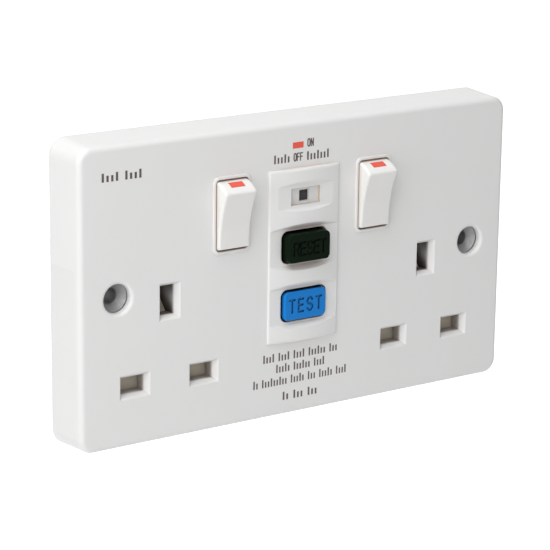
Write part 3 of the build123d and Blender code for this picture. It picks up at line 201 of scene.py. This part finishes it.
def make_camera():
    """Camera of the photograph, aimed past the middle of the plate's face by the two offsets."""
    back = direction_back(camera_azimuth, camera_elevation)
    right = (-back).cross(Vector((0, 0, 1))).normalized()
    up = right.cross(-back)
    roll = math.radians(camera_roll)
    turned_right = math.cos(roll) * right + math.sin(roll) * up
    turned_up = math.cos(roll) * up - math.sin(roll) * right
    place = back * camera_distance - camera_right * turned_right - camera_up * turned_up
    place += Vector((0, face_y, 0))
    data = bpy.data.cameras.new("camera")
    data.sensor_width = sensor_mm
    data.lens = focal_px / image_px * sensor_mm
    data.clip_start = clip_start
    camera = bpy.data.objects.new("camera", data)
    matrix = Matrix((turned_right, turned_up, back)).transposed().to_4x4()
    matrix.translation = place
    camera.matrix_world = matrix
    bpy.context.scene.collection.objects.link(camera)
    bpy.context.scene.camera = camera


def make_lamps():
    """Round soft lamps, all aimed at one point of the plate."""
    for name, lamp in lamps.items():
        data = bpy.data.lights.new(name, "AREA")
        data.shape = "DISK"
        data.size = lamp["size"]
        data.energy = lamp["power"]
        lit = bpy.data.objects.new(name, data)
        lit.location = lamp["place"]
        aim = Vector(lamp_target) - lit.location
        lit.rotation_euler = aim.to_track_quat("-Z", "Y").to_euler()
        bpy.context.scene.collection.objects.link(lit)


def seen_rays(tree):
    """Socket that is one for rays which see the background: camera, glossy and transmission rays."""
    path = tree.nodes.new("ShaderNodeLightPath")
    total = None
    for name in ("Is Camera Ray", "Is Glossy Ray", "Is Transmission Ray"):
        if total is None:
            total = path.outputs[name]
            continue
        node = tree.nodes.new("ShaderNodeMath")
        node.operation = "ADD"
        node.use_clamp = True
        tree.links.new(total, node.inputs[0])
        tree.links.new(path.outputs[name], node.inputs[1])
        total = node.outputs[0]
    return total


def make_world():
    """Soft room light, with plain white behind the object."""
    world = bpy.data.worlds.new("white_room")
    bpy.context.scene.world = world
    world.use_nodes = True
    tree = world.node_tree
    tree.nodes.clear()
    light = tree.nodes.new("ShaderNodeBackground")
    light.inputs["Color"].default_value = (*white, 1)
    light.inputs["Strength"].default_value = world_strength
    seen = tree.nodes.new("ShaderNodeBackground")
    seen.inputs["Color"].default_value = (*white, 1)
    seen.inputs["Strength"].default_value = background_strength
    mix = tree.nodes.new("ShaderNodeMixShader")
    output = tree.nodes.new("ShaderNodeOutputWorld")
    tree.links.new(seen_rays(tree), mix.inputs["Fac"])
    tree.links.new(light.outputs[0], mix.inputs[1])
    tree.links.new(seen.outputs[0], mix.inputs[2])
    tree.links.new(mix.outputs[0], output.inputs["Surface"])


def make_floor(low):
    """White floor below the object, which takes its shadow and glows only for rays that see it."""
    level = low.z - floor_drop
    half = floor_half
    corners = [(-half, -half, level), (half, -half, level), (half, half, level), (-half, half, level)]
    mesh = bpy.data.meshes.new("floor")
    mesh.from_pydata(corners, [], [(0, 1, 2, 3)])
    floor = bpy.data.objects.new("floor", mesh)
    bpy.context.scene.collection.objects.link(floor)
    material = bpy.data.materials.new("floor_white")
    material.use_nodes = True
    tree = material.node_tree
    tree.nodes.clear()
    diffuse = tree.nodes.new("ShaderNodeBsdfDiffuse")
    diffuse.inputs["Color"].default_value = (*floor_colour, 1)
    glow = tree.nodes.new("ShaderNodeEmission")
    scale = tree.nodes.new("ShaderNodeMath")
    scale.operation = "MULTIPLY"
    scale.inputs[1].default_value = floor_glow
    add = tree.nodes.new("ShaderNodeAddShader")
    output = tree.nodes.new("ShaderNodeOutputMaterial")
    tree.links.new(seen_rays(tree), scale.inputs[0])
    tree.links.new(scale.outputs[0], glow.inputs["Strength"])
    tree.links.new(diffuse.outputs[0], add.inputs[0])
    tree.links.new(glow.outputs[0], add.inputs[1])
    tree.links.new(add.outputs[0], output.inputs["Surface"])
    mesh.materials.append(material)


class Surface:
    """One material: a Principled shader with object coordinates and a chain of normals."""

    def __init__(self, name, **sockets):
        self.material = bpy.data.materials.new(name)
        self.material.use_nodes = True
        self.tree = self.material.node_tree
        self.shader = self.tree.nodes["Principled BSDF"]
        for socket, value in sockets.items():
            self.shader.inputs[socket.replace("_", " ")].default_value = value
        coordinates = self.node("ShaderNodeTexCoord")
        self.coords = coordinates.outputs["Object"]
        self.facing = coordinates.outputs["Normal"]
        self.normal = None
        self.base = None

    def node(self, kind, **settings):
        made = self.tree.nodes.new(kind)
        for name, value in settings.items():
            setattr(made, name, value)
        return made

    def link(self, source, target):
        self.tree.links.new(source, target)

    def axes(self, vector):
        """The X, Y and Z sockets of a vector socket."""
        made = self.node("ShaderNodeSeparateXYZ")
        self.link(vector, made.inputs[0])
        return made.outputs

    def noise(self, scale, detail=noise_detail):
        made = self.node("ShaderNodeTexNoise")
        made.inputs["Scale"].default_value = scale
        made.inputs["Detail"].default_value = detail
        self.link(self.coords, made.inputs["Vector"])
        return made.outputs["Fac"]

    def ramp(self, value, start, end, low=0.0, high=1.0):
        """Socket that runs from low to high as the value goes from start to end."""
        made = self.node("ShaderNodeMapRange")
        made.inputs["From Min"].default_value = start
        made.inputs["From Max"].default_value = end
        made.inputs["To Min"].default_value = low
        made.inputs["To Max"].default_value = high
        self.link(value, made.inputs["Value"])
        return made.outputs["Result"]

    def spots(self, scale, low, high):
        """Socket that drifts between low and high over the surface."""
        return self.ramp(self.noise(scale), noise_low, noise_high, low, high)

    def mix(self, factor, first, second):
        """Socket that goes from the first colour to the second, each a tuple or a socket."""
        made = self.node("ShaderNodeMix", data_type="RGBA")
        colours = [socket for socket in made.inputs if socket.type == "RGBA"]
        for socket, value in zip(colours, (first, second)):
            if isinstance(value, tuple):
                socket.default_value = (*value, 1)
            else:
                self.link(value, socket)
        self.link(factor, made.inputs["Factor"])
        return [socket for socket in made.outputs if socket.type == "RGBA"][0]

    def colour(self, first, second, scale=mottle_scale):
        """Base colour that drifts slowly between two close colours."""
        self.base = self.mix(self.spots(scale, 0.0, 1.0), first, second)
        self.link(self.base, self.shader.inputs["Base Color"])

    def paint_shade(self, dark, deep=None):
        """Paint shade into the base colour: dark in narrow gaps, and a deep shade behind the mouths of the
        slots.
        """
        occlusion = self.node("ShaderNodeAmbientOcclusion", samples=painted_shade_samples)
        occlusion.inputs["Distance"].default_value = painted_shade_reach
        openness = occlusion.outputs["AO"]
        self.base = self.mix(self.ramp(openness, painted_shade_shut, painted_shade_open), dark, self.base)
        if deep:
            place = self.axes(self.coords)
            behind = self.node("ShaderNodeMath", operation="MULTIPLY")
            self.link(self.ramp(place["Y"], slot_from, slot_to), behind.inputs[0])
            self.link(self.ramp(place["Z"], rocker_foot, rocker_foot - slot_fade), behind.inputs[1])
            tone = self.mix(self.ramp(place["Z"], pin_top, pin_top + slot_fade), pin_shade, deep)
            shaded = self.mix(self.ramp(openness, slot_shut, slot_open), tone, self.base)
            self.base = self.mix(behind.outputs[0], self.base, shaded)
        self.link(self.base, self.shader.inputs["Base Color"])

    def roughness(self, low, high, scale=gloss_scale):
        self.link(self.spots(scale, low, high), self.shader.inputs["Roughness"])

    def soft_edges(self, radius):
        made = self.node("ShaderNodeBevel", samples=edge_samples)
        made.inputs["Radius"].default_value = radius
        self.normal = made.outputs["Normal"]
        self.link(self.normal, self.shader.inputs["Normal"])

    def bump(self, height, strength, depth):
        made = self.node("ShaderNodeBump")
        made.inputs["Strength"].default_value = strength
        made.inputs["Distance"].default_value = depth
        self.link(height, made.inputs["Height"])
        if self.normal:
            self.link(self.normal, made.inputs["Normal"])
        self.normal = made.outputs["Normal"]
        self.link(self.normal, self.shader.inputs["Normal"])


def shade(colour, factor):
    """A lighter or darker tone of a colour."""
    return tuple(min(1.0, part * factor) for part in colour)


def moulded(
    name,
    colour,
    rough,
    drift=colour_drift,
    edge=edge_radius,
    grain=grain_strength,
    dark=None,
    deep=None,
    **sockets,
):
    """Moulded plastic: slow drift of colour, uneven gloss, fine grain, soft edges and, when dark is given,
    shade painted into gaps.
    """
    surface = Surface(name, **sockets)
    surface.colour(colour, shade(colour, drift))
    # Painted shade: the base colour goes dark in narrow gaps, and deep inside the slots when deep is given.
    if dark:
        surface.paint_shade(dark, deep)
    surface.roughness(rough - gloss_spread, rough + gloss_spread)
    surface.soft_edges(edge)
    surface.bump(surface.noise(grain_scale, grain_detail), grain, grain_depth)
    return surface.material


def metal(name, colour, rough, deep):
    """Bare metal with rolled grain, uneven gloss and shade painted into narrow gaps."""
    surface = Surface(name, Metallic=1.0)
    surface.colour(colour, shade(colour, metal_drift), metal_mottle)
    # Painted shade: the colour goes darker in narrow gaps.
    surface.paint_shade(shade(colour, deep))
    surface.roughness(rough - metal_gloss_below, rough + metal_gloss_above, metal_scale)
    surface.soft_edges(metal_radius)
    surface.bump(surface.noise(metal_scale, metal_detail), metal_strength, metal_depth)
    return surface.material


def wound_wire(name):
    """Fine enamelled wire laid in turns."""
    surface = Surface(name, Metallic=1.0)
    surface.colour(wire_colour, shade(wire_colour, wire_drift), wire_mottle)
    surface.roughness(*wire_rough)
    turns = surface.node("ShaderNodeTexWave", bands_direction="Z")
    turns.inputs["Scale"].default_value = wire_turns
    surface.link(surface.coords, turns.inputs["Vector"])
    surface.bump(turns.outputs["Fac"], wire_strength, wire_depth)
    return surface.material


def printed_ink(name):
    """Ink that is a little uneven from mark to mark."""
    surface = Surface(name)
    surface.colour(ink_colour, shade(ink_colour, ink_drift), ink_mottle)
    surface.roughness(*ink_rough)
    return surface.material


def clear_window(name):
    """Clear plastic, seen mostly where its sides turn away from the front."""
    surface = Surface(name, IOR=window_refraction)
    surface.colour(*window_colours)
    surface.roughness(*window_rough)
    surface.soft_edges(window_radius)
    turned = surface.node("ShaderNodeMath", operation="ABSOLUTE")
    surface.link(surface.axes(surface.facing)["Y"], turned.inputs[0])
    body = surface.ramp(turned.outputs[0], 1.0, window_turn, window_front_alpha, window_side_alpha)
    surface.link(body, surface.shader.inputs["Alpha"])
    return surface.material


def lacquered_board(name):
    """Green lacquer over copper tracks."""
    surface = Surface(name, Coat_Weight=board_coat)
    tracks = surface.node("ShaderNodeTexBrick")
    tracks.inputs["Scale"].default_value = board_scale
    for socket, colour in board_colours.items():
        tracks.inputs[socket].default_value = (*colour, 1)
    surface.link(surface.coords, tracks.inputs["Vector"])
    surface.link(tracks.outputs["Color"], surface.shader.inputs["Base Color"])
    surface.roughness(*board_rough)
    surface.bump(tracks.outputs["Fac"], board_strength, board_depth)
    return surface.material


def make_materials():
    """One material for each of the record's slots."""
    materials = {name: moulded(name, **finish) for name, finish in plastics.items()}
    materials.update({name: metal(name, **finish) for name, finish in metals.items()})
    materials["copper_wire"] = wound_wire("copper_wire")
    materials["ink"] = printed_ink("ink")
    materials["window_clear"] = clear_window("window_clear")
    materials["board_green"] = lacquered_board("board_green")
    return materials


def dress_nodes(frame):
    """Give each piece the material of its slot."""
    materials = make_materials()
    for row in frame["record"]["subparts"]:
        node = frame["nodes"][row["node"]]
        node.data.materials.clear()
        node.data.materials.append(materials[row["material_slot"]])


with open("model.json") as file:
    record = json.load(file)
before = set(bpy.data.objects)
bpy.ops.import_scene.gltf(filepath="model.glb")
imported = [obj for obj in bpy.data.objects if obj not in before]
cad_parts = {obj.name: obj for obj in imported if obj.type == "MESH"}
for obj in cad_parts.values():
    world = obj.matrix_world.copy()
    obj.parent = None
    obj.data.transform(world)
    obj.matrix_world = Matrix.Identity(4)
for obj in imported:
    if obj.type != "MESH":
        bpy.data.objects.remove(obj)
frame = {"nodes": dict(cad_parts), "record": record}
cad_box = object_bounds()
rocker_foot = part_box("left_rocker")[0].z
openings = frame["record"]["physics"]["openings"]
pin_top = max(row["box_m"][1][2] for row in openings if "earth" not in row["name"])
make_camera()
make_lamps()
make_world()
make_floor(cad_box[0])
dress_nodes(frame)
bpy.context.scene.view_settings.view_transform = "Standard"
